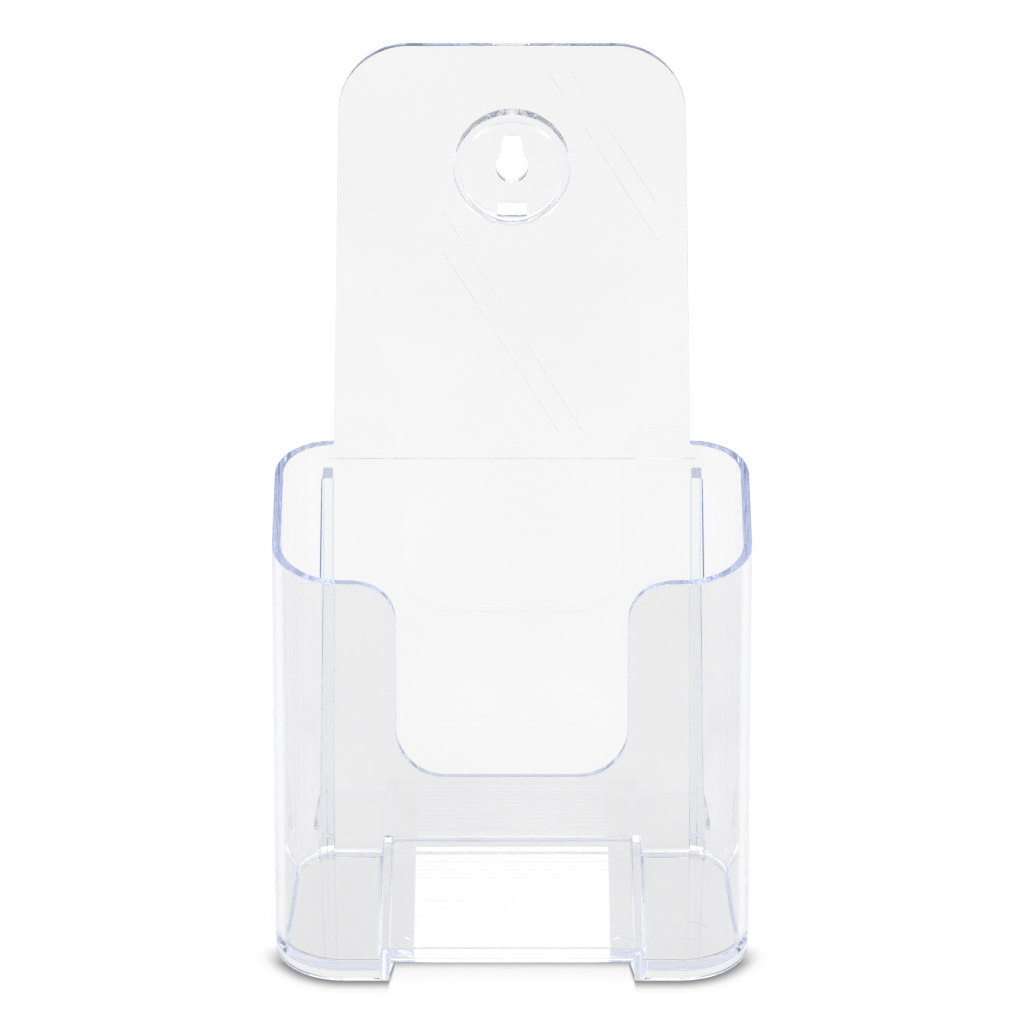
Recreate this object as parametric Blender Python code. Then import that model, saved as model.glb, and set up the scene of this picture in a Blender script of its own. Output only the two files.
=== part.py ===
"""Single-pocket leaflet rack in clear moulded polystyrene, for a counter or a wall.

One pocket leans back over a flat foot. Its rear wall runs up into a tall panel with round
shoulders and a keyhole hanger. The front wall has a deep thumb window, and a low channel runs
under the middle of the floor from front to back. The real rack is one moulding: its regions are
modelled here as neighbouring solids, a hair's breadth apart.

Units are metres. X is width, the front faces -Y and Z is up. The origin is on the ground, at the
middle of the outline of the whole rack.
"""

import math

import bmesh
import bpy
from mathutils import Vector

# Overall size
WIDTH = 0.108
HEIGHT = 0.197
DEPTH = 0.0825
LEAN = math.tan(math.radians(7.5))

# Walls and the hair's breadth between neighbouring solids
WALL = 0.002
GAP = 0.0003

# Pocket
RIM_FRONT_HEIGHT = 0.0955
FRONT_CORNER_RADIUS = 0.016
REAR_CORNER_RADIUS = 0.0128

# Thumb window in the front wall: what is left of the front beside it, and its shape
WINDOW_MARGIN = 0.028
WINDOW_SILL = 0.0495
WINDOW_SILL_RADIUS = 0.0114
WINDOW_TOP_RADIUS = 0.009

# Floor: a low bay at each side, and a channel under the raised middle
SIDE_BAY_WIDTH = 0.0262
SIDE_FLOOR_TOP = 0.0038
CHANNEL_MOUTH = 0.0045
CENTER_FLOOR_TOP = 0.007
FLOOR_THICKNESS = 0.002

# Grip ridges on the channel's ceiling
RIDGE_SIDE_MARGIN = 0.0055
RIDGE_PITCH = 0.0035
RIDGE_HEIGHT = 0.0005
RIDGE_END_MARGIN = 0.002

# Tall panel
PANEL_TAPER = 0.002
SHOULDER_RADIUS = 0.016

# Keyhole hanger: a round recess that stands out behind the panel
HANGER_BELOW_TOP = 0.0298
HANGER_INNER_RADIUS = 0.0114
HANGER_WALL = 0.0018
HANGER_STANDOUT = 0.0035
HANGER_PLATE = 0.002
KEYHOLE_RADIUS = 0.0037
KEYHOLE_SLOT_WIDTH = 0.0049
KEYHOLE_SLOT_RISE = 0.0049
NOTCH_WIDTH_TOP = 0.0062
NOTCH_WIDTH_FOOT = 0.0071
NOTCH_HEIGHT = 0.0029
NOTCH_BITE = 0.0008

# Fins that prop the leaning back, and their curved feet
FIN_TOP_THICKNESS = 0.0025
FIN_FOOT_THICKNESS = 0.004
FIN_SPLAY = 0.0009
FIN_TOP = 0.094
FIN_TOP_DEPTH = 0.0055
FIN_FOOT_INSET = 0.0091
FIN_OVERHANG = 0.0001
FOOT_RADIUS = 0.0037
FOOT_HEIGHT = 0.0124
FOOT_TIP_HEIGHT = 0.0015

ARC_STEPS = 10
CIRCLE_STEPS = 48

# Places worked out from the sizes above
HALF_WIDTH = WIDTH / 2
FRONT = -DEPTH / 2
REAR = DEPTH / 2
HANGER_HEIGHT = HEIGHT - HANGER_BELOW_TOP
HANGER_OUTER_RADIUS = HANGER_INNER_RADIUS + HANGER_WALL
POCKET_REAR = REAR - HANGER_STANDOUT - LEAN * (HANGER_HEIGHT + HANGER_OUTER_RADIUS)
FLAT_FRONT_HALF = HALF_WIDTH - FRONT_CORNER_RADIUS
FLAT_REAR_HALF = HALF_WIDTH - REAR_CORNER_RADIUS
CHANNEL_HALF = HALF_WIDTH - SIDE_BAY_WIDTH
RIDGE_HALF = CHANNEL_HALF - RIDGE_SIDE_MARGIN
WINDOW_HALF = HALF_WIDTH - WINDOW_MARGIN
WING_FOOT = WINDOW_SILL + WINDOW_SILL_RADIUS
RIM_FRONT_Y = FRONT + LEAN * RIM_FRONT_HEIGHT
HALF_GAP = GAP / 2

# The sill's round stops where the gap under the wings begins
HALF_GAP_ANGLE = math.degrees(math.asin(HALF_GAP / WINDOW_SILL_RADIUS))


def rim_height(y):
    """Height of the pocket's rim, which falls to the front square to the leaning walls."""
    return RIM_FRONT_HEIGHT + LEAN * (y - RIM_FRONT_Y)


# Where the rim plane meets the front face of the leaning rear wall
RIM_REAR_HEIGHT = (rim_height(POCKET_REAR - WALL)) / (1 - LEAN * LEAN)


def remove_old_objects():
    for old in list(bpy.data.objects):
        bpy.data.objects.remove(old, do_unlink=True)


def new_collection(name):
    collection = bpy.data.collections.new(name)
    bpy.context.scene.collection.children.link(collection)
    return collection


def clear_plastic(name):
    """Water-clear polystyrene, with the faint blue of its edges."""
    material = bpy.data.materials.new(name)
    material.use_nodes = True
    shader = material.node_tree.nodes["Principled BSDF"]
    shader.inputs["Base Color"].default_value = (0.90, 0.93, 0.99, 1.0)
    shader.inputs["Roughness"].default_value = 0.04
    shader.inputs["Metallic"].default_value = 0.0
    shader.inputs["IOR"].default_value = 1.59
    shader.inputs["Transmission Weight"].default_value = 0.9
    return material


def arc(x, y, radius, start, end, steps=ARC_STEPS):
    """Points of an arc about (x, y), from one angle in degrees to another."""
    points = []
    for step in range(steps + 1):
        angle = math.radians(start + (end - start) * step / steps)
        points.append((x + radius * math.cos(angle), y + radius * math.sin(angle)))
    return points


def flipped(outline):
    return [(-x, y) for x, y in outline]


def prism(name, outline, run, collection):
    """A solid made by drawing a flat outline of 3-D points along one straight run."""
    shape = bmesh.new()
    face = shape.faces.new([shape.verts.new(point) for point in outline])
    drawn = bmesh.ops.extrude_face_region(shape, geom=[face])
    moved = [item for item in drawn["geom"] if isinstance(item, bmesh.types.BMVert)]
    bmesh.ops.translate(shape, verts=moved, vec=run)
    bmesh.ops.recalc_face_normals(shape, faces=shape.faces)
    mesh = bpy.data.meshes.new(name)
    shape.to_mesh(mesh)
    shape.free()
    piece = bpy.data.objects.new(name, mesh)
    collection.objects.link(piece)
    return piece


def trim(piece, point, direction):
    """Cut away what lies past a plane, on the side that direction points to, and close the cut."""
    shape = bmesh.new()
    shape.from_mesh(piece.data)
    everything = shape.verts[:] + shape.edges[:] + shape.faces[:]
    cut = bmesh.ops.bisect_plane(
        shape, geom=everything, plane_co=point, plane_no=direction, clear_outer=True
    )
    rim = [item for item in cut["geom_cut"] if isinstance(item, bmesh.types.BMEdge)]
    bmesh.ops.contextual_create(shape, geom=rim)
    bmesh.ops.recalc_face_normals(shape, faces=shape.faces)
    shape.to_mesh(piece.data)
    shape.free()


def cut(piece, cutter):
    boolean = piece.modifiers.new("cut", "BOOLEAN")
    boolean.operation = "DIFFERENCE"
    boolean.solver = "EXACT"
    boolean.object = cutter


def as_cutter(cutter):
    cutter.hide_render = True
    cutter.display_type = "WIRE"
    return cutter


def column(name, outline, low, high, collection):
    """A plan outline, given where it would meet the ground, drawn upwards along the lean."""
    foot = [Vector((x, y + LEAN * low, low)) for x, y in outline]
    rise = high - low
    return prism(name, foot, Vector((0.0, LEAN * rise, rise)), collection)


def leaning_plate(name, outline, y_at_ground, thickness, collection):
    """A front-view outline on the leaning plane that meets the ground at y, drawn backwards."""
    face = [Vector((x, y_at_ground + LEAN * z, z)) for x, z in outline]
    return prism(name, face, Vector((0.0, thickness, 0.0)), collection)


def wall_column(name, outline, collection):
    """A pocket wall from the ground to the sloping rim."""
    wall = column(name, outline, 0.0, RIM_REAR_HEIGHT + WALL, collection)
    trim(wall, Vector((0.0, RIM_FRONT_Y, RIM_FRONT_HEIGHT)), Vector((0.0, -LEAN, 1.0)))
    return wall


def side_walls(rack):
    """Left and right walls, each between a front and a rear corner."""
    front_end = FRONT + FRONT_CORNER_RADIUS + HALF_GAP
    rear_end = POCKET_REAR - REAR_CORNER_RADIUS - HALF_GAP
    outline = [
        (HALF_WIDTH - WALL, front_end),
        (HALF_WIDTH, front_end),
        (HALF_WIDTH, rear_end),
        (HALF_WIDTH - WALL, rear_end),
    ]
    return [
        wall_column("side_wall_left", flipped(outline), rack),
        wall_column("side_wall_right", outline, rack),
    ]


def corner_outline(x, y, radius, start, end):
    """Plan of a quarter-round wall, shortened at both ends by half the gap."""
    trimmed = math.degrees(HALF_GAP / radius)
    outer = arc(x, y, radius, start + trimmed, end - trimmed)
    inner = arc(x, y, radius - WALL, start + trimmed, end - trimmed)
    return outer + inner[::-1]


def corners(rack):
    front = corner_outline(
        FLAT_FRONT_HALF, FRONT + FRONT_CORNER_RADIUS, FRONT_CORNER_RADIUS, -90, 0
    )
    rear = corner_outline(
        FLAT_REAR_HALF, POCKET_REAR - REAR_CORNER_RADIUS, REAR_CORNER_RADIUS, 0, 90
    )
    return [
        wall_column("front_corner_left", flipped(front), rack),
        wall_column("front_corner_right", front, rack),
        wall_column("rear_corner_left", flipped(rear), rack),
        wall_column("rear_corner_right", rear, rack),
    ]


def front_wings(rack):
    """The parts of the front wall to the left and right of the window."""
    outer = FLAT_FRONT_HALF - HALF_GAP
    foot = WING_FOOT + HALF_GAP
    shoulder = arc(
        WINDOW_HALF + WINDOW_TOP_RADIUS,
        RIM_FRONT_HEIGHT - WINDOW_TOP_RADIUS,
        WINDOW_TOP_RADIUS,
        180,
        90,
    )
    outline = [(outer, foot), (WINDOW_HALF, foot)] + shoulder + [(outer, RIM_FRONT_HEIGHT)]
    return [
        leaning_plate("front_wing_left", flipped(outline), FRONT, WALL, rack),
        leaning_plate("front_wing_right", outline, FRONT, WALL, rack),
    ]


def front_sill(rack):
    """The front wall under the window, with the channel's mouth in its foot."""
    outer = FLAT_FRONT_HALF - HALF_GAP
    top = WING_FOOT - HALF_GAP
    round_x = WINDOW_HALF - WINDOW_SILL_RADIUS
    right_round = arc(round_x, WING_FOOT, WINDOW_SILL_RADIUS, -90, -HALF_GAP_ANGLE)
    half = [(CHANNEL_HALF, CHANNEL_MOUTH), (CHANNEL_HALF, 0.0), (outer, 0.0), (outer, top)]
    half = half + right_round[::-1]
    outline = half + flipped(half)[::-1]
    return [leaning_plate("front_sill", outline, FRONT, WALL, rack)]


def pocket_back(rack):
    """The pocket's rear wall, from the ground to the level of the rim."""
    outer = FLAT_REAR_HALF - HALF_GAP
    top = RIM_REAR_HEIGHT - HALF_GAP
    half = [(CHANNEL_HALF, CHANNEL_MOUTH), (CHANNEL_HALF, 0.0), (outer, 0.0), (outer, top)]
    outline = half + flipped(half)[::-1]
    return [leaning_plate("pocket_back", outline, POCKET_REAR - WALL, WALL, rack)]


def tall_panel(rack, cutters):
    """The panel above the pocket, which narrows a little to its round shoulders."""
    foot = RIM_REAR_HEIGHT + HALF_GAP
    top_half = FLAT_REAR_HALF - PANEL_TAPER
    shoulder = arc(
        top_half - SHOULDER_RADIUS, HEIGHT - SHOULDER_RADIUS, SHOULDER_RADIUS, 0, 90
    )
    half = [(FLAT_REAR_HALF, foot)] + shoulder
    outline = half + flipped(half)[::-1]
    panel = leaning_plate("back_panel", outline, POCKET_REAR - WALL, WALL, rack)
    cut(panel, hanger_cutter("panel_hole", HANGER_INNER_RADIUS, cutters))
    return [panel]


def hanger_circle(radius):
    return arc(0.0, HANGER_HEIGHT, radius, 0, 360, CIRCLE_STEPS)[:-1]


def hanger_cutter(name, radius, cutters):
    """A round cutter that runs well past both faces of the panel and the hanger."""
    reach = WALL + HANGER_STANDOUT
    ahead = POCKET_REAR - WALL - reach
    return as_cutter(leaning_plate(name, hanger_circle(radius), ahead, 3 * reach, cutters))


def keyhole_outline():
    """A round hole that a screw head passes, with a narrower slot above it."""
    slot_half = KEYHOLE_SLOT_WIDTH / 2
    join = math.degrees(math.acos(slot_half / KEYHOLE_RADIUS))
    round_hole = arc(0.0, HANGER_HEIGHT, KEYHOLE_RADIUS, 180 - join, 360 + join, CIRCLE_STEPS // 2)
    slot_top = arc(0.0, HANGER_HEIGHT + KEYHOLE_SLOT_RISE, slot_half, 0, 180)
    return round_hole + slot_top


def notch_outline():
    """The notch at the hanger's foot, which runs down into the ring and widens downwards."""
    foot = HANGER_HEIGHT - HANGER_INNER_RADIUS - NOTCH_BITE
    top = HANGER_HEIGHT - HANGER_INNER_RADIUS + NOTCH_HEIGHT
    return [
        (-NOTCH_WIDTH_FOOT / 2, foot),
        (NOTCH_WIDTH_FOOT / 2, foot),
        (NOTCH_WIDTH_TOP / 2, top),
        (-NOTCH_WIDTH_TOP / 2, top),
    ]


def hanger(rack, cutters):
    """The ring of the recess behind the panel, and the keyhole plate that closes it."""
    reach = WALL + HANGER_STANDOUT
    ring = leaning_plate(
        "hanger_ring",
        hanger_circle(HANGER_OUTER_RADIUS),
        POCKET_REAR + GAP,
        HANGER_STANDOUT - GAP,
        rack,
    )
    cut(ring, hanger_cutter("ring_bore", HANGER_INNER_RADIUS, cutters))
    plate = leaning_plate(
        "keyhole_plate",
        hanger_circle(HANGER_INNER_RADIUS - GAP),
        POCKET_REAR + HANGER_STANDOUT - HANGER_PLATE,
        HANGER_PLATE,
        rack,
    )
    keyhole = leaning_plate(
        "keyhole", keyhole_outline(), POCKET_REAR - WALL - reach, 3 * reach, cutters
    )
    cut(plate, as_cutter(keyhole))
    notch_front = POCKET_REAR + HANGER_STANDOUT - HANGER_PLATE - GAP
    notch = as_cutter(leaning_plate("notch", notch_outline(), notch_front, reach, cutters))
    cut(plate, notch)
    cut(ring, notch)
    return [ring, plate]


def side_floors(rack):
    """The low floors to the left and right of the channel."""
    inner = CHANNEL_HALF + WALL + GAP
    front_round = arc(
        FLAT_FRONT_HALF,
        FRONT + FRONT_CORNER_RADIUS,
        FRONT_CORNER_RADIUS - WALL - GAP,
        -90,
        0,
    )
    rear_round = arc(
        FLAT_REAR_HALF,
        POCKET_REAR - REAR_CORNER_RADIUS,
        REAR_CORNER_RADIUS - WALL - GAP,
        0,
        90,
    )
    ends = [(inner, POCKET_REAR - WALL - GAP), (inner, FRONT + WALL + GAP)]
    outline = front_round + rear_round + ends
    low = SIDE_FLOOR_TOP - FLOOR_THICKNESS
    return [
        column("side_floor_left", flipped(outline), low, SIDE_FLOOR_TOP, rack),
        column("side_floor_right", outline, low, SIDE_FLOOR_TOP, rack),
    ]


def channel_walls(rack):
    """The upright walls that carry the raised middle of the floor."""
    near = FRONT + WALL + GAP
    far = POCKET_REAR - WALL - GAP
    outline = [
        (CHANNEL_HALF, near),
        (CHANNEL_HALF + WALL, near),
        (CHANNEL_HALF + WALL, far),
        (CHANNEL_HALF, far),
    ]
    return [
        column("channel_wall_left", flipped(outline), 0.0, CENTER_FLOOR_TOP, rack),
        column("channel_wall_right", outline, 0.0, CENTER_FLOOR_TOP, rack),
    ]


def center_floor(rack):
    """The raised middle of the floor: a ridged panel between two plain margins."""
    low = CENTER_FLOOR_TOP - FLOOR_THICKNESS
    near = FRONT + WALL + GAP
    far = POCKET_REAR - WALL - GAP
    margin = [
        (RIDGE_HALF + GAP, near),
        (CHANNEL_HALF - GAP, near),
        (CHANNEL_HALF - GAP, far),
        (RIDGE_HALF + GAP, far),
    ]
    profile = [(far + LEAN * low, low), (far + LEAN * CENTER_FLOOR_TOP, CENTER_FLOOR_TOP)]
    profile += [(near + LEAN * CENTER_FLOOR_TOP, CENTER_FLOOR_TOP), (near + LEAN * low, low)]
    field_start = near + RIDGE_END_MARGIN + LEAN * low
    field_length = far - near - 2 * RIDGE_END_MARGIN
    ridges = int(field_length / RIDGE_PITCH)
    field_start += (field_length - ridges * RIDGE_PITCH) / 2
    for ridge in range(ridges):
        start = field_start + ridge * RIDGE_PITCH
        profile.append((start, low))
        profile.append((start + RIDGE_PITCH / 2, low - RIDGE_HEIGHT))
    profile.append((field_start + ridges * RIDGE_PITCH, low))
    left_end = [Vector((-RIDGE_HALF, y, z)) for y, z in profile]
    return [
        column("center_floor_margin_left", flipped(margin), low, CENTER_FLOOR_TOP, rack),
        column("center_floor_margin_right", margin, low, CENTER_FLOOR_TOP, rack),
        prism("ridged_floor", left_end, Vector((2 * RIDGE_HALF, 0.0, 0.0)), rack),
    ]


def fins_and_feet(rack):
    """The fins behind the pocket, which splay and thicken downwards, and their curved feet."""
    top_inner = FLAT_REAR_HALF - FIN_OVERHANG
    top_outer = top_inner + FIN_TOP_THICKNESS
    foot_inner = top_inner + FIN_SPLAY
    foot_outer = foot_inner + FIN_FOOT_THICKNESS
    foot_y = REAR - FIN_FOOT_INSET
    top_y = POCKET_REAR + LEAN * FIN_TOP
    side_view = [
        (POCKET_REAR + GAP, 0.0),
        (foot_y, 0.0),
        (top_y + FIN_TOP_DEPTH, FIN_TOP),
        (top_y + GAP, FIN_TOP),
    ]
    slope = (top_y + FIN_TOP_DEPTH - foot_y) / FIN_TOP
    arc_x = foot_outer + GAP
    arc_y = foot_y - FOOT_RADIUS
    plan = arc(arc_x, arc_y, FOOT_RADIUS, 90, 0) + arc(arc_x, arc_y, FOOT_RADIUS - WALL, 0, 90)
    pieces = []
    for side, sign in (("left", -1), ("right", 1)):
        end = [Vector((sign * foot_inner, y, z)) for y, z in side_view]
        run = Vector((sign * FIN_FOOT_THICKNESS, 0.0, 0.0))
        fin = prism("rear_fin_" + side, end, run, rack)
        for vert in fin.data.vertices:
            if vert.co.z > FIN_TOP / 2:
                is_outer = abs(vert.co.x) > foot_inner + FIN_FOOT_THICKNESS / 2
                vert.co.x = sign * (top_outer if is_outer else top_inner)
        pieces.append(fin)
        sole = [Vector((sign * x, y, 0.0)) for x, y in plan]
        rise = Vector((0.0, slope * FOOT_HEIGHT, FOOT_HEIGHT))
        foot = prism("rear_foot_" + side, sole, rise, rack)
        fall = (FOOT_HEIGHT - FOOT_TIP_HEIGHT) / FOOT_RADIUS
        trim(
            foot,
            Vector((sign * arc_x, 0.0, FOOT_HEIGHT)),
            Vector((sign * fall, 0.0, 1.0)),
        )
        pieces.append(foot)
    return pieces


remove_old_objects()
rack_parts = new_collection("leaflet_rack")
rack_cutters = new_collection("cutters")
pieces = side_walls(rack_parts)
pieces += corners(rack_parts)
pieces += front_wings(rack_parts)
pieces += front_sill(rack_parts)
pieces += pocket_back(rack_parts)
pieces += tall_panel(rack_parts, rack_cutters)
pieces += hanger(rack_parts, rack_cutters)
pieces += side_floors(rack_parts)
pieces += channel_walls(rack_parts)
pieces += center_floor(rack_parts)
pieces += fins_and_feet(rack_parts)
for part in pieces:
    part.data.materials.append(clear_plastic(part.name + "_plastic"))
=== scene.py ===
import math

import bmesh
import bpy
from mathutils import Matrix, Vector


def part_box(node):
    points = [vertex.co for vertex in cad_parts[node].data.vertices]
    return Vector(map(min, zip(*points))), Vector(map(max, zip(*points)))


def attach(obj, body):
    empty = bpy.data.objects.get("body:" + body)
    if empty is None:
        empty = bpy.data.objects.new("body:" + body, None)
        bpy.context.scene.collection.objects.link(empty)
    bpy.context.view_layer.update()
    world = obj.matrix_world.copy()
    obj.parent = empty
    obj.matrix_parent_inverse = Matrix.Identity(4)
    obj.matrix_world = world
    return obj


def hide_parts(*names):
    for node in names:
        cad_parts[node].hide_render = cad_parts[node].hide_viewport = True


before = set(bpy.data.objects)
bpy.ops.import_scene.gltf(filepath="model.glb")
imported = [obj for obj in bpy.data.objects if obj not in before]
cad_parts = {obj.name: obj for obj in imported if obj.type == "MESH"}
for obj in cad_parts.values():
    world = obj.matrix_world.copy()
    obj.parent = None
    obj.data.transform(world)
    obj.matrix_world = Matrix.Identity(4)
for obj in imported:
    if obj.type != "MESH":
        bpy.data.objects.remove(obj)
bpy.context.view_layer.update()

# ---------------------------------------------------------------------------------------------
# The pocket
# The rack is one injection moulding in clear polystyrene. Its pocket is a round-cornered tube
# that leans back, drawn here as a tall tube that is then trimmed down to the pocket's sloping
# rim, except for the panel at the back. The walls are 2 mm thick all round.
# ---------------------------------------------------------------------------------------------
side_low, side_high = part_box("side_wall_right")
sill_low, sill_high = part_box("front_sill")
back_low, back_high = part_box("pocket_back")
wing_low, wing_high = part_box("front_wing_right")
panel_low, panel_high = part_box("back_panel")
SEAM = 0.0003
HALF_WIDTH = side_high.x
WALL = side_high.x - side_low.x
FRONT = sill_low.y
LEAN = (sill_high.y - sill_low.y - WALL) / sill_high.z
REAR = back_high.y - LEAN * back_high.z
FLAT_FRONT_HALF = sill_high.x + SEAM / 2
FLAT_REAR_HALF = back_high.x + SEAM / 2
FRONT_CORNER = HALF_WIDTH - FLAT_FRONT_HALF
REAR_CORNER = HALF_WIDTH - FLAT_REAR_HALF
RIM_HEIGHT = wing_high.z
RIM_Y = FRONT + LEAN * RIM_HEIGHT
PANEL_TOP = panel_high.z
PANEL_TAPER = 0.002
SHOULDER = 0.016
CORNER_STEPS = 18
BEYOND = 0.02


def arc(x, y, radius, start, end, steps=CORNER_STEPS):
    """Points of an arc about (x, y), from one angle in degrees to another."""
    points = []
    for step in range(steps + 1):
        angle = math.radians(start + (end - start) * step / steps)
        points.append((x + radius * math.cos(angle), y + radius * math.sin(angle)))
    return points


def both_halves(half):
    """A whole outline from its right half."""
    return half + [(-x, y) for x, y in reversed(half)]


def solid_of(name, shape):
    """A named solid from closed mesh work, with its faces turned outwards."""
    bmesh.ops.recalc_face_normals(shape, faces=shape.faces)
    mesh = bpy.data.meshes.new(name)
    shape.to_mesh(mesh)
    shape.free()
    solid = bpy.data.objects.new(name, mesh)
    bpy.context.scene.collection.objects.link(solid)
    return solid


def prism(name, outline, run):
    """A closed solid: a flat outline of 3-D points, drawn along one straight run."""
    shape = bmesh.new()
    face = shape.faces.new([shape.verts.new(point) for point in outline])
    drawn = bmesh.ops.extrude_face_region(shape, geom=[face])
    moved = [item for item in drawn["geom"] if isinstance(item, bmesh.types.BMVert)]
    bmesh.ops.translate(shape, verts=moved, vec=run)
    return solid_of(name, shape)


def column(name, plan, low, high):
    """A plan outline, as it would meet the ground, drawn upwards along the lean."""
    foot = [Vector((x, y + LEAN * low, low)) for x, y in plan]
    return prism(name, foot, Vector((0.0, LEAN * (high - low), high - low)))


def plate(name, outline, y_at_ground, thickness):
    """A front-view outline on the leaning plane that meets the ground at y, drawn backwards."""
    face = [Vector((x, y_at_ground + LEAN * z, z)) for x, z in outline]
    return prism(name, face, Vector((0.0, thickness, 0.0)))


def crosswise(name, profile, left, right):
    """A side-view outline of (y, z) points, drawn across the rack."""
    end = [Vector((left, y, z)) for y, z in profile]
    return prism(name, end, Vector((right - left, 0.0, 0.0)))


def settle(solid):
    """Turn a solid's modifiers into its mesh."""
    graph = bpy.context.evaluated_depsgraph_get()
    old = solid.data
    solid_mesh = bpy.data.meshes.new_from_object(solid.evaluated_get(graph))
    solid.modifiers.clear()
    solid.data = solid_mesh
    bpy.data.meshes.remove(old)


def work(solid, tool, operation):
    """Cut a tool's shape from a solid, or join it on."""
    step = solid.modifiers.new("work", "BOOLEAN")
    step.operation = operation
    step.solver = "EXACT"
    step.object = tool
    settle(solid)
    bpy.data.objects.remove(tool)


def cut(solid, tool):
    work(solid, tool, "DIFFERENCE")


def join(solid, tool):
    work(solid, tool, "UNION")


def tube_plan(inset):
    """Plan of the pocket's wall, moved inwards by an inset."""
    front_y = FRONT + FRONT_CORNER
    rear_y = REAR - REAR_CORNER
    front_round = arc(FLAT_FRONT_HALF, front_y, FRONT_CORNER - inset, -90, 0)
    rear_round = arc(FLAT_REAR_HALF, rear_y, REAR_CORNER - inset, 0, 90)
    return both_halves(front_round + rear_round)


moulding = column("leaflet_rack", tube_plan(0.0), 0.0, PANEL_TOP)

# ---------------------------------------------------------------------------------------------
# The floor
# A low bay lies at each side, and the middle is raised over an open channel. The channel's two
# upright walls stand a little proud of the raised floor, as ribs. The bays have round corners
# where they meet the walls, as a moulding has.
# ---------------------------------------------------------------------------------------------
bay_low, bay_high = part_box("side_floor_right")
channel_low, channel_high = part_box("channel_wall_right")
margin_low, margin_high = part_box("center_floor_margin_right")
CHANNEL_HALF = channel_low.x
RIB_OUTER = channel_high.x
RIB_PROUD = 0.0004
RIB_TOP = margin_high.z + RIB_PROUD
BAY_ROUND = 0.0013
BAY_ROUND_STEPS = 4
BAY_EDGE_ANGLE = 1.0

cavity = column("cavity", tube_plan(WALL), bay_high.z, PANEL_TOP + BEYOND)
raised = both_halves(
    [
        (RIB_OUTER, 0.0),
        (RIB_OUTER, RIB_TOP),
        (CHANNEL_HALF, RIB_TOP),
        (CHANNEL_HALF, margin_high.z),
    ]
)
middle = [Vector((x, FRONT - BEYOND, z)) for x, z in raised]
cut(cavity, prism("middle", middle, Vector((0.0, 4 * HALF_WIDTH, 0.0))))
shape = bmesh.new()
shape.from_mesh(cavity.data)
bay_edges = [
    edge
    for edge in shape.edges
    if all(abs(vert.co.z - bay_high.z) < SEAM for vert in edge.verts)
    and len(edge.link_faces) == 2
    and edge.calc_face_angle() > BAY_EDGE_ANGLE
]
bmesh.ops.bevel(
    shape,
    geom=bay_edges,
    offset=BAY_ROUND,
    segments=BAY_ROUND_STEPS,
    profile=0.5,
    affect="EDGES",
    clamp_overlap=True,
)
shape.to_mesh(cavity.data)
shape.free()
cut(moulding, cavity)


def bay_plan(sign):
    """Plan of the hollow under one bay, inside the walls that it stands on."""
    front_round = arc(
        FLAT_FRONT_HALF, FRONT + FRONT_CORNER, FRONT_CORNER - WALL, -90, 0
    )
    rear_round = arc(FLAT_REAR_HALF, REAR - REAR_CORNER, REAR_CORNER - WALL, 0, 90)
    ends = [(RIB_OUTER, REAR - WALL), (RIB_OUTER, FRONT + WALL)]
    return [(sign * x, y) for x, y in front_round + rear_round + ends]


for sign in (-1, 1):
    cut(moulding, column("under_bay", bay_plan(sign), -BEYOND, bay_low.z))

# ---------------------------------------------------------------------------------------------
# The channel
# An open channel, cut through the moulding under the middle of the floor, from the front to the
# rear. Its two mouths are a little lower than its ceiling.
# ---------------------------------------------------------------------------------------------
CEILING = margin_low.z
MOUTH = 0.0045

near = FRONT + WALL
far = REAR - WALL
channel_profile = [
    (FRONT - BEYOND, -BEYOND),
    (FRONT - BEYOND, MOUTH),
    (near + LEAN * MOUTH, MOUTH),
    (near + LEAN * CEILING, CEILING),
    (far + LEAN * CEILING, CEILING),
    (far + LEAN * MOUTH, MOUTH),
    (REAR + BEYOND, MOUTH),
    (REAR + BEYOND, -BEYOND),
]
channel = crosswise("channel", channel_profile, -CHANNEL_HALF, CHANNEL_HALF)
cut(moulding, channel)

# ---------------------------------------------------------------------------------------------
# The rim and the tall panel
# Above the rim only the panel stays of the tube's rear wall, so that its two faces run on from
# the pocket without a step. It narrows a little to its round shoulders.
# ---------------------------------------------------------------------------------------------
def rim_z(y):
    """Height of the rim's plane, which falls to the front."""
    return RIM_HEIGHT + LEAN * (y - RIM_Y)


panel_foot = RIM_HEIGHT / 2
panel_top_half = FLAT_REAR_HALF - PANEL_TAPER
shoulder = arc(panel_top_half - SHOULDER, PANEL_TOP - SHOULDER, SHOULDER, 0, 90)
taper_foot = FLAT_REAR_HALF + PANEL_TAPER * (panel_low.z - panel_foot) / PANEL_TOP
panel_outline = both_halves([(taper_foot, panel_foot)] + shoulder)
rim_start = FRONT - BEYOND
rim_end = back_high.y + 2 * BEYOND
above_rim = [
    (rim_start, rim_z(rim_start)),
    (rim_end, rim_z(rim_end)),
    (rim_end, PANEL_TOP + BEYOND),
    (rim_start, PANEL_TOP + BEYOND),
]
spare = crosswise("spare", above_rim, -HALF_WIDTH - BEYOND, HALF_WIDTH + BEYOND)
cut(spare, plate("panel", panel_outline, REAR - 2 * WALL, BEYOND))
cut(moulding, spare)

# ---------------------------------------------------------------------------------------------
# The thumb window
# A deep U in the front wall, so that a leaflet can be gripped. Its sides flare out into the rim
# and its sill has round corners.
# ---------------------------------------------------------------------------------------------
WINDOW_HALF = wing_low.x
WINDOW_SILL = 0.0495
SILL_ROUND = 0.0114
FLARE = 0.009
FLARE_END = 100
FLARE_RUN = 0.012

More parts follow.
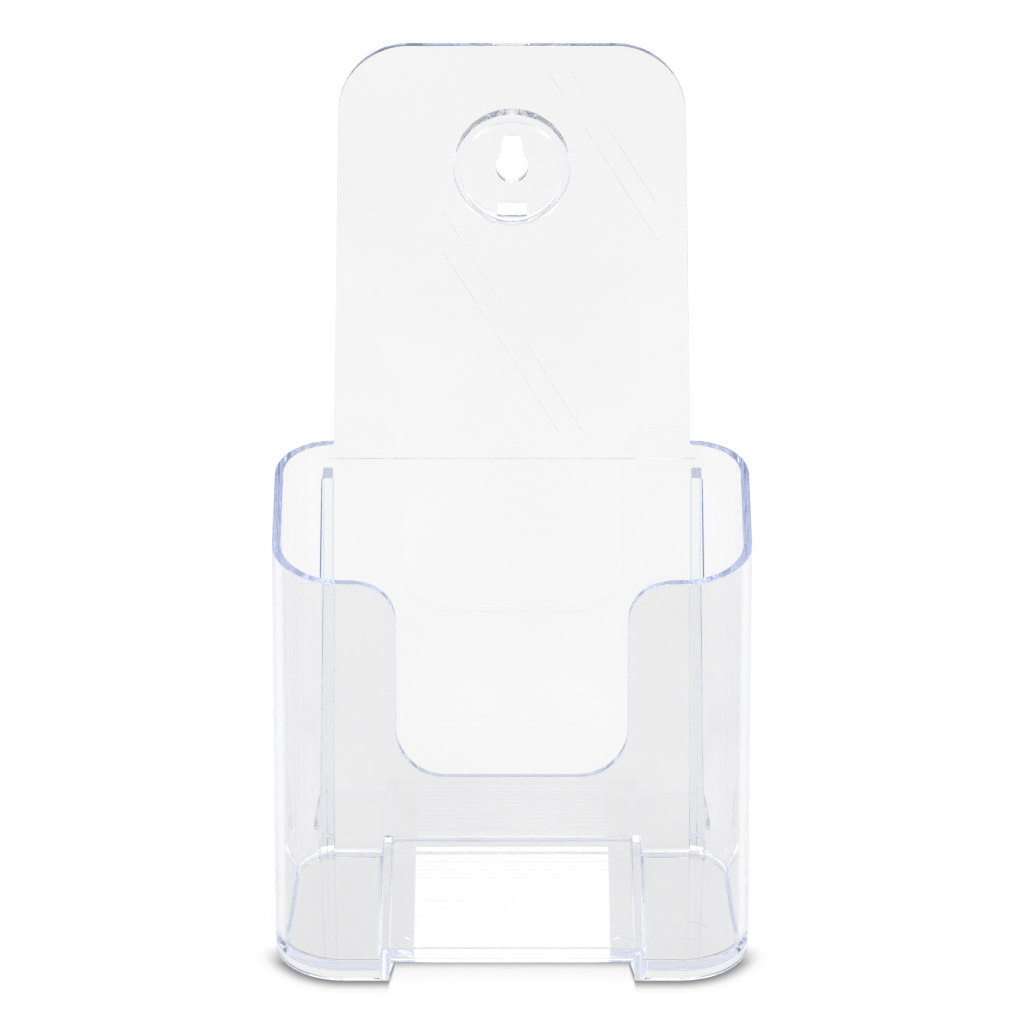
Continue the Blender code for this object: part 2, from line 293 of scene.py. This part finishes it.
sill_round = arc(
    WINDOW_HALF - SILL_ROUND, WINDOW_SILL + SILL_ROUND, SILL_ROUND, -90, 0
)
flare = arc(WINDOW_HALF + FLARE, RIM_HEIGHT - FLARE, FLARE, 180, FLARE_END)
flare_slope = math.radians(FLARE_END - 90)
flare_x, flare_z = flare[-1]
flare_tip = (flare_x + FLARE_RUN, flare_z + FLARE_RUN * math.tan(flare_slope))
half_window = sill_round + flare + [flare_tip, (flare_tip[0], PANEL_TOP)]
cut(moulding, plate("window", both_halves(half_window), FRONT - BEYOND, BEYOND + 2 * WALL))

# ---------------------------------------------------------------------------------------------
# The rounded edges
# No edge of a moulding is sharp: each is a little round, so that it leaves the mould and is kind
# to the hand. What follows is added after this, with rounding of its own.
# ---------------------------------------------------------------------------------------------
EDGE_ROUND = 0.00035
EDGE_ROUND_STEPS = 2
EDGE_ANGLE = math.radians(40)
WELD_DISTANCE = 0.00002
WELD_ANGLE = math.radians(0.5)


def weld(solid):
    """Merge doubled points and the pieces of one flat face."""
    shape = bmesh.new()
    shape.from_mesh(solid.data)
    bmesh.ops.remove_doubles(shape, verts=shape.verts, dist=WELD_DISTANCE)
    bmesh.ops.dissolve_limit(
        shape, angle_limit=WELD_ANGLE, verts=shape.verts, edges=shape.edges
    )
    shape.to_mesh(solid.data)
    shape.free()


def round_edges(solid):
    """Round every edge of a solid that is sharper than the edge angle."""
    weld(solid)
    rounding = solid.modifiers.new("edges", "BEVEL")
    rounding.width = EDGE_ROUND
    rounding.segments = EDGE_ROUND_STEPS
    rounding.limit_method = "ANGLE"
    rounding.angle_limit = EDGE_ANGLE
    rounding.use_clamp_overlap = False
    settle(solid)


round_edges(moulding)

# ---------------------------------------------------------------------------------------------
# The grip ridges
# Low ridges run across the ceiling of the channel, under the middle of the floor. Their mould is
# left rough there, and their slopes carry a painted glow, so they show through the clear floor as
# a white ribbed field.
# ---------------------------------------------------------------------------------------------
ridged_low, ridged_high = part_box("ridged_floor")
RIDGE_HALF = ridged_high.x
RIDGE_PITCH = 0.0035
RIDGE_HEIGHT = CEILING - ridged_low.z
RIDGE_END = 0.0025
VALLEY = CEILING - SEAM / 4
VALLEY_WIDTH = 0.0004

ridge_span = far - near - 2 * RIDGE_END
ridge_count = int(ridge_span / RIDGE_PITCH)
ridge_start = near + LEAN * CEILING + (far - near - ridge_count * RIDGE_PITCH) / 2
ridge_end = ridge_start + ridge_count * RIDGE_PITCH
ridges_profile = [(ridge_start, CEILING + SEAM)]
for ridge in range(ridge_count):
    start = ridge_start + ridge * RIDGE_PITCH
    ridges_profile.append((start, VALLEY))
    ridges_profile.append((start + (RIDGE_PITCH - VALLEY_WIDTH) / 2, CEILING - RIDGE_HEIGHT))
    ridges_profile.append((start + RIDGE_PITCH - VALLEY_WIDTH, VALLEY))
ridges_profile += [(ridge_end, VALLEY), (ridge_end, CEILING + SEAM)]
join(moulding, crosswise("ridges", ridges_profile, -RIDGE_HALF, RIDGE_HALF))

# ---------------------------------------------------------------------------------------------
# The keyhole hanger
# A round recess whose wall and base stand out behind the panel. A screw's head passes the round
# hole in its base, and the slot above slips behind the head. A notch opens the recess's foot.
# ---------------------------------------------------------------------------------------------
ring_low, ring_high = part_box("hanger_ring")
disc_low, disc_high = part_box("keyhole_plate")
HANGER_Z = (ring_low.z + ring_high.z) / 2
RING_RADIUS = ring_high.x
RECESS_RADIUS = disc_high.x + SEAM
STANDOUT = ring_high.y - REAR - LEAN * ring_high.z
HANGER_BASE = 0.002
KEYHOLE_RADIUS = 0.0037
SLOT_HALF = 0.00245
SLOT_RISE = 0.0049
NOTCH_TOP_HALF = 0.0031
NOTCH_FOOT_HALF = 0.00355
NOTCH_HEIGHT = 0.0029
NOTCH_BITE = 0.0008
ROUND_STEPS = 72
LIP_STEPS = 4


def turned(name, profile):
    """A closed round solid, from (radius, y at the ground) pairs along the hanger's axis."""
    shape = bmesh.new()
    rings = []
    for radius, y_at_ground in profile:
        circle = arc(0.0, HANGER_Z, radius, 0, 360, ROUND_STEPS)[:-1]
        rings.append([shape.verts.new((x, y_at_ground + LEAN * z, z)) for x, z in circle])
    for ring, following in zip(rings, rings[1:]):
        for step in range(ROUND_STEPS):
            after = (step + 1) % ROUND_STEPS
            shape.faces.new((ring[step], ring[after], following[after], following[step]))
    shape.faces.new(rings[0])
    shape.faces.new(rings[-1])
    return solid_of(name, shape)


ring_back = REAR + STANDOUT
boss = [(RING_RADIUS, REAR - WALL / 2)]
for x, y in arc(RING_RADIUS - EDGE_ROUND, ring_back - EDGE_ROUND, EDGE_ROUND, 0, 90, LIP_STEPS):
    boss.append((x, y))
join(moulding, turned("boss", boss))
base_front = ring_back - HANGER_BASE
panel_front = REAR - WALL
recess = [(RECESS_RADIUS + EDGE_ROUND, panel_front - BEYOND)]
lip_y = panel_front + EDGE_ROUND
recess += arc(RECESS_RADIUS + EDGE_ROUND, lip_y, EDGE_ROUND, 270, 180, LIP_STEPS)
for x, y in arc(RECESS_RADIUS - EDGE_ROUND, base_front - EDGE_ROUND, EDGE_ROUND, 0, 90, LIP_STEPS):
    recess.append((x, y))
cut(moulding, turned("recess", recess))
slot_join = math.degrees(math.acos(SLOT_HALF / KEYHOLE_RADIUS))
keyhole = arc(0.0, HANGER_Z, KEYHOLE_RADIUS, 180 - slot_join, 360 + slot_join, 2 * CORNER_STEPS)
keyhole += arc(0.0, HANGER_Z + SLOT_RISE, SLOT_HALF, 0, 180)
cut(moulding, plate("keyhole", keyhole, REAR - BEYOND, 2 * BEYOND))
notch_top = HANGER_Z - RECESS_RADIUS + NOTCH_HEIGHT
notch_foot = HANGER_Z - RECESS_RADIUS - NOTCH_BITE
notch = both_halves([(NOTCH_FOOT_HALF, notch_foot), (NOTCH_TOP_HALF, notch_top)])
cut(moulding, plate("notch", notch, base_front - SEAM, BEYOND))

# ---------------------------------------------------------------------------------------------
# The fins and feet
# Two fins prop the leaning back. Each splays and thickens downwards, and has a curved foot at
# its outer side that falls away to the ground. They are one moulding with the pocket.
# ---------------------------------------------------------------------------------------------
fin_low, fin_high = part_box("rear_fin_right")
foot_low, foot_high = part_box("rear_foot_right")
FIN_TOP_THICKNESS = 0.0025
FIN_SPLAY = 0.0009
ROOT = 0.0003
FIN_TOP_DEPTH = 0.0055
FOOT_TIP = 0.0015
FOOT_STEPS = 10
fin_rear = foot_high.y
foot_reach = foot_high.x - foot_low.x
inside_wall = REAR - WALL / 2
fin_top_y = LEAN * fin_high.z
fin_profile = [
    (inside_wall, 0.0),
    (fin_rear, 0.0),
    (REAR + fin_top_y + FIN_TOP_DEPTH, fin_high.z),
    (inside_wall + fin_top_y, fin_high.z),
]
foot_start = foot_low.x - 2 * SEAM
foot_outer = arc(foot_start, fin_rear - foot_reach, foot_reach, 90, 0, FOOT_STEPS)
foot_inner = arc(foot_start, fin_rear - foot_reach, foot_reach - WALL, 0, 90, FOOT_STEPS)
foot_fall = (foot_high.z - FOOT_TIP) / foot_reach
ROOT_SPREAD = fin_high.x - fin_low.x - FIN_TOP_THICKNESS
fin_foot_inner = fin_low.x + FIN_SPLAY
fin_top_outer = fin_low.x + FIN_TOP_THICKNESS
for sign in (-1, 1):
    fin = crosswise("fin", fin_profile, sign * fin_foot_inner, sign * fin_high.x)
    for vert in fin.data.vertices:
        if vert.co.z > 0.0:
            is_outer = abs(vert.co.x) > (fin_foot_inner + fin_high.x) / 2
            vert.co.x = sign * (fin_top_outer if is_outer else fin_low.x)
    foot_plan = [Vector((sign * x, y, 0.0)) for x, y in foot_outer + foot_inner]
    foot = prism("foot", foot_plan, Vector((0.0, 0.0, foot_high.z)))
    slope = [
        Vector((sign * (foot_start + reach), fin_rear - WALL * 5, foot_high.z + SEAM - rise))
        for reach, rise in (
            (-WALL, -foot_fall * WALL),
            (2 * foot_reach, 2 * foot_fall * foot_reach),
            (2 * foot_reach, -WALL),
        )
    ]
    cut(foot, prism("fall", slope, Vector((0.0, 10 * WALL, 0.0))))
    join(fin, foot)
    round_edges(fin)
    join(moulding, fin)
    root_plan = [
        (sign * (fin_low.x - ROOT), REAR - WALL / 2),
        (sign * (fin_low.x - ROOT), REAR),
        (sign * fin_low.x, REAR + ROOT),
        (sign * fin_top_outer, REAR + ROOT),
        (sign * (fin_top_outer + ROOT), REAR),
        (sign * (fin_top_outer + ROOT), REAR - WALL / 2),
    ]
    root = column("root", root_plan, 0.0, fin_high.z - ROOT)
    for vert in root.data.vertices:
        if vert.co.z == 0.0:
            is_outer = abs(vert.co.x) > fin_low.x + FIN_TOP_THICKNESS / 2
            vert.co.x += sign * (ROOT_SPREAD if is_outer else FIN_SPLAY)
    join(moulding, root)

# ---------------------------------------------------------------------------------------------
# Marks of the mould
# The back of the panel has a fine line where its two mould plates meet, a blank sunk rectangle
# for the maker's label, and two pairs of slanted score lines. Ejector pins leave round dimples
# in the floor.
# ---------------------------------------------------------------------------------------------
SCORE_DEPTH = 0.0002
SCORE_HALF = 0.00016
LABEL_DEPTH = 0.0002
PIN_RADIUS = 0.0021
PIN_DEPTH = 0.00015
PIN_INSET = 0.0045
BAY_PIN = (0.0409, 0.0169)
BAY_PIN_RADIUS = 0.0039
PIN_STEPS = 32
LABEL_HALF = 0.0186
LABEL_FOOT = 0.0086
LABEL_TOP = 0.0346
SCORES = (
    ((-0.042, 0.0989), (0.042, 0.0989)),
    ((0.0082, 0.1906), (0.033, 0.1512)),
    ((0.0134, 0.1906), (0.0329, 0.1597)),
    ((-0.0155, 0.1578), (0.0161, 0.1056)),
    ((-0.0155, 0.1483), (0.0106, 0.1056)),
)


def score(start, end):
    """A fine straight groove in the back of the panel, between two (x, z) points."""
    along = (Vector(end) - Vector(start)).normalized() * SCORE_HALF
    across = Vector((-along.y, along.x))
    corners = [
        Vector(start) - across,
        Vector(end) - across,
        Vector(end) + across,
        Vector(start) + across,
    ]
    outline = [tuple(corner) for corner in corners]
    cut(moulding, plate("score", outline, REAR - SCORE_DEPTH, BEYOND))


def dimple(x, y, radius, top):
    """A flat round dimple that an ejector pin leaves in a level face."""
    outline = [Vector((px, py, top - PIN_DEPTH)) for px, py in arc(x, y, radius, 0, 360, PIN_STEPS)]
    cut(moulding, prism("dimple", outline[:-1], Vector((0.0, 0.0, WALL))))


for score_start, score_end in SCORES:
    score(score_start, score_end)
label = both_halves([(LABEL_HALF, LABEL_FOOT), (LABEL_HALF, LABEL_TOP)])
cut(moulding, plate("label", label, REAR - LABEL_DEPTH, BEYOND))
pin_x = (CHANNEL_HALF + RIDGE_HALF) / 2
for sign in (-1, 1):
    for pin_y in (near + PIN_INSET, far - PIN_INSET):
        dimple(sign * pin_x, pin_y, PIN_RADIUS, margin_high.z)
dimple(BAY_PIN[0], FRONT + BAY_PIN[1], BAY_PIN_RADIUS, bay_high.z)

# ---------------------------------------------------------------------------------------------
# The finish
# The plastic is clear, and turns blue where light runs along a wall. It has the faint flow marks
# and wear of a moulded piece. The slopes of the grip ridges are frosted, and glow a little in
# place of the light that real frosted ridges scatter upwards.
# ---------------------------------------------------------------------------------------------
SMOOTH_ANGLE = math.radians(32)
PLASTIC_IOR = 1.59
PLASTIC_BLUE = (0.1, 0.27, 0.73, 1.0)
PLASTIC_DENSITY = 4.4
FLOW_SCALE = 30.0
FLOW_HEIGHT = 0.00006
SCRATCH_SCALE = 900.0
SCRATCH_STRETCH = (1.0, 0.02, 0.02)
SCRATCH_TURN = (0.0, 0.35, 0.2)
SCRATCH_FROM = 0.68
SCRATCH_FULL = 0.75
SCRATCH_ROUGHNESS = 0.12
HAZE_SCALE = 22.0
NOISE_LOW = 0.3
NOISE_HIGH = 0.7
TONE_LOW = 0.9
TONE_HIGH = 0.93
FROST_SCALE = 1500.0
FROST_HEIGHT = 0.00004
FROST_GLOW = 0.38
FROST_TONE = (0.9, 0.98)
FROST_GLOW_TONE = (0.8, 1.0)
FROST_ROUGHNESS = (0.15, 0.3)
SLOPE_STEEP = -0.5
SLOPE_LEVEL = -0.99

moulding.data.shade_smooth()
moulding.data.set_sharp_from_angle(angle=SMOOTH_ANGLE)
flat = moulding.modifiers.new("flat_faces", "WEIGHTED_NORMAL")
flat.keep_sharp = True
settle(moulding)

plastic = bpy.data.materials.new("clear_polystyrene")
plastic.use_nodes = True
nodes = plastic.node_tree.nodes
links = plastic.node_tree.links
shader = nodes["Principled BSDF"]
shader.inputs["Transmission Weight"].default_value = 1.0
shader.inputs["IOR"].default_value = PLASTIC_IOR
shader.inputs["Metallic"].default_value = 0.0
shader.inputs["Roughness"].default_value = 0.0


def noise(nodes, links, vector, scale, detail):
    """A noise pattern over the object, for a material's nodes."""
    pattern = nodes.new("ShaderNodeTexNoise")
    pattern.inputs["Scale"].default_value = scale
    pattern.inputs["Detail"].default_value = detail
    links.new(vector, pattern.inputs["Vector"])
    return pattern.outputs["Fac"]


def ranged(nodes, links, value, from_low, from_high, low, high):
    """A value taken from one range to another, and held inside it."""
    step = nodes.new("ShaderNodeMapRange")
    step.inputs["From Min"].default_value = from_low
    step.inputs["From Max"].default_value = from_high
    step.inputs["To Min"].default_value = low
    step.inputs["To Max"].default_value = high
    links.new(value, step.inputs["Value"])
    return step.outputs["Result"]


def add_plastic_detail(nodes, links, shader):
    """Flow marks in the surface, hair scratches, and a haze that comes and goes."""
    place = nodes.new("ShaderNodeTexCoord").outputs["Object"]
    flow = noise(nodes, links, place, FLOW_SCALE, 1.0)
    stretch = nodes.new("ShaderNodeMapping")
    stretch.inputs["Scale"].default_value = SCRATCH_STRETCH
    stretch.inputs["Rotation"].default_value = SCRATCH_TURN
    links.new(place, stretch.inputs["Vector"])
    hairs = noise(nodes, links, stretch.outputs["Vector"], SCRATCH_SCALE, 2.0)
    scratch = ranged(nodes, links, hairs, SCRATCH_FROM, SCRATCH_FULL, 0.0, 1.0)
    haze = noise(nodes, links, place, HAZE_SCALE, 2.0)
    tone = ranged(nodes, links, haze, NOISE_LOW, NOISE_HIGH, TONE_LOW, TONE_HIGH)
    links.new(tone, shader.inputs["Base Color"])
    worn = ranged(nodes, links, scratch, 0.0, 1.0, 0.0, SCRATCH_ROUGHNESS)
    links.new(worn, shader.inputs["Roughness"])
    bump = nodes.new("ShaderNodeBump")
    bump.inputs["Distance"].default_value = FLOW_HEIGHT
    links.new(flow, bump.inputs["Height"])
    links.new(bump.outputs["Normal"], shader.inputs["Normal"])


add_plastic_detail(nodes, links, shader)
volume = nodes.new("ShaderNodeVolumeAbsorption")
volume.inputs["Color"].default_value = PLASTIC_BLUE
volume.inputs["Density"].default_value = PLASTIC_DENSITY
links.new(volume.outputs["Volume"], nodes["Material Output"].inputs["Volume"])
moulding.data.materials.clear()
moulding.data.materials.append(plastic)

frosted = bpy.data.materials.new("frosted_polystyrene_painted_glow")
frosted.use_nodes = True
nodes = frosted.node_tree.nodes
links = frosted.node_tree.links
shader = nodes["Principled BSDF"]
shader.inputs["Transmission Weight"].default_value = 1.0
shader.inputs["IOR"].default_value = PLASTIC_IOR
shader.inputs["Metallic"].default_value = 0.0
# Painted glow: the ridge slopes give off light, in place of the light that real frosted ridges
# scatter upwards.
shader.inputs["Emission Strength"].default_value = FROST_GLOW
place = nodes.new("ShaderNodeTexCoord").outputs["Object"]
grain = noise(nodes, links, place, FROST_SCALE, 3.0)
for socket_name, (low, high) in (
    ("Base Color", FROST_TONE),
    ("Emission Color", FROST_GLOW_TONE),
    ("Roughness", FROST_ROUGHNESS),
):
    varied = ranged(nodes, links, grain, NOISE_LOW, NOISE_HIGH, low, high)
    links.new(varied, shader.inputs[socket_name])
bump = nodes.new("ShaderNodeBump")
bump.inputs["Distance"].default_value = FROST_HEIGHT
links.new(grain, bump.inputs["Height"])
links.new(bump.outputs["Normal"], shader.inputs["Normal"])
moulding.data.materials.append(frosted)
for face in moulding.data.polygons:
    is_ridge = CEILING - RIDGE_HEIGHT < face.center.z < VALLEY
    is_slope = SLOPE_LEVEL < face.normal.z < SLOPE_STEEP
    is_inside = abs(face.center.x) < RIDGE_HALF and near < face.center.y < far
    if is_ridge and is_slope and is_inside:
        face.material_index = 1

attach(moulding, "root")
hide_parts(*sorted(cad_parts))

# ---------------------------------------------------------------------------------------------
# The studio
# A white table with its own even light, under a soft white surround that is dimmer on the
# camera's side. A painted shadow lies on the table: a soft dark band in its colour and glow along
# the rack's front foot, reaching in under the channel's mouth.
# ---------------------------------------------------------------------------------------------
FLOOR_DROP = 0.0002
TABLE_SIZE = 6.0
TABLE_COLOUR = 0.1
TABLE_GLOW = 0.9
TABLE_DIM = 0.5
TABLE_DIM_FROM = -0.8
TABLE_DIM_TO = -0.15
SHADE_INSIDE = 0.0025
SHADE_REACH = 0.0058
SHADE_BACK = 0.008
SHADE_BLEND = 0.0012
CHANNEL_SHADE = 0.0093
SHADE_STOPS = (
    (0.18, 0.6),
    (0.28, 0.72),
    (0.42, 0.5),
    (0.56, 0.25),
    (0.72, 0.06),
)
NO_SHADE = (0.0, 0.0, 0.0, 1.0)
TABLE_ROUGHNESS = 0.9
WORLD_FRONT = 0.35
WORLD_BACK = 1.2
WORLD_TURN = (-0.7, 0.2)
WORLD_HIGH = 0.8
WORLD_RISE = (0.1, 0.5)
OVERHEAD = 1.5
OVERHEAD_RISE = (0.7, 0.85)
LIGHT_BOUNCES = 96
SENSOR_WIDTH = 36.0
LENS = 281.25
CAMERA_PLACE = (0.0, -1.6002, 0.94)
CAMERA_TILT = math.radians(62.269)
floor_mesh = bpy.data.meshes.new("studio_floor")
shape = bmesh.new()
bmesh.ops.create_grid(shape, x_segments=1, y_segments=1, size=TABLE_SIZE)
shape.to_mesh(floor_mesh)
shape.free()
floor = bpy.data.objects.new("studio_floor", floor_mesh)
bpy.context.scene.collection.objects.link(floor)
floor.location.z = -FLOOR_DROP
paper = bpy.data.materials.new("light_table")
paper.use_nodes = True
nodes = paper.node_tree.nodes
links = paper.node_tree.links
shader = nodes["Principled BSDF"]
shader.inputs["Roughness"].default_value = TABLE_ROUGHNESS
shader.inputs["Specular IOR Level"].default_value = 0.0
shader.inputs["Emission Strength"].default_value = TABLE_GLOW


def maths(operation, first, second):
    """One sum in the current nodes; each side is a number or another node's output."""
    step = nodes.new("ShaderNodeMath")
    step.operation = operation
    for socket, value in zip(step.inputs, (first, second)):
        if isinstance(value, float):
            socket.default_value = value
        else:
            links.new(value, socket)
    return step.outputs["Value"]


# Painted shadow: the table's colour and glow are darkened by a ramp of the distance ahead of the
# rack's front foot, and further in under the channel.
axes = nodes.new("ShaderNodeSeparateXYZ")
links.new(nodes.new("ShaderNodeTexCoord").outputs["Object"], axes.inputs["Vector"])
side = maths("ABSOLUTE", axes.outputs["X"], 0.0)
past_side = maths("MAXIMUM", maths("SUBTRACT", side, FLAT_FRONT_HALF), 0.0)
past_front = maths("SUBTRACT", FRONT + FRONT_CORNER, axes.outputs["Y"])
past_front = maths("MAXIMUM", past_front, 0.0)
squares = maths("ADD", maths("POWER", past_side, 2.0), maths("POWER", past_front, 2.0))
ahead = maths("SUBTRACT", maths("SQRT", squares, 0.0), FRONT_CORNER)
under_channel = ranged(
    nodes, links, side, CHANNEL_HALF - SHADE_BLEND, CHANNEL_HALF + SHADE_BLEND / 4, 1.0, 0.0
)
ahead = maths("ADD", ahead, maths("MULTIPLY", under_channel, CHANNEL_SHADE))
shade = nodes.new("ShaderNodeValToRGB")
for position, grey in SHADE_STOPS:
    stop = shade.color_ramp.elements.new(position)
    stop.color = (grey, grey, grey, 1.0)
shade.color_ramp.elements[0].color = NO_SHADE
shade.color_ramp.elements[-1].color = NO_SHADE
reach = ranged(nodes, links, ahead, -SHADE_INSIDE, SHADE_REACH, 0.0, 1.0)
links.new(reach, shade.inputs["Fac"])
to_front = ranged(
    nodes, links, axes.outputs["Y"], FRONT + SHADE_BACK, FRONT + 2 * SHADE_BACK, 1.0, 0.0
)
dark = maths("MULTIPLY", shade.outputs["Color"], to_front)
light = maths("SUBTRACT", 1.0, dark)
even = ranged(nodes, links, axes.outputs["Y"], TABLE_DIM_FROM, TABLE_DIM_TO, TABLE_DIM, 1.0)
light = maths("MULTIPLY", light, even)
links.new(light, shader.inputs["Emission Color"])
links.new(maths("MULTIPLY", light, TABLE_COLOUR), shader.inputs["Base Color"])
floor_mesh.materials.append(paper)

world = bpy.data.worlds.new("studio")
world.use_nodes = True
nodes = world.node_tree.nodes
links = world.node_tree.links
axes = nodes.new("ShaderNodeSeparateXYZ")
links.new(nodes.new("ShaderNodeTexCoord").outputs["Generated"], axes.inputs["Vector"])
surround = ranged(nodes, links, axes.outputs["Y"], *WORLD_TURN, WORLD_FRONT, WORLD_BACK)
falling = ranged(nodes, links, axes.outputs["Z"], *WORLD_RISE, 1.0, WORLD_HIGH)
overhead = ranged(nodes, links, axes.outputs["Z"], *OVERHEAD_RISE, 0.0, OVERHEAD)
surround = maths("MULTIPLY", surround, falling)
links.new(maths("ADD", surround, overhead), nodes["Background"].inputs["Color"])
scene = bpy.context.scene
scene.world = world
scene.view_settings.view_transform = "Standard"
scene.cycles.max_bounces = LIGHT_BOUNCES
scene.cycles.transmission_bounces = LIGHT_BOUNCES
scene.cycles.glossy_bounces = LIGHT_BOUNCES

lens = bpy.data.cameras.new("camera")
lens.sensor_width = SENSOR_WIDTH
lens.lens = LENS
camera = bpy.data.objects.new("camera", lens)
scene.collection.objects.link(camera)
camera.location = CAMERA_PLACE
camera.rotation_euler = (CAMERA_TILT, 0.0, 0.0)
scene.camera = camera
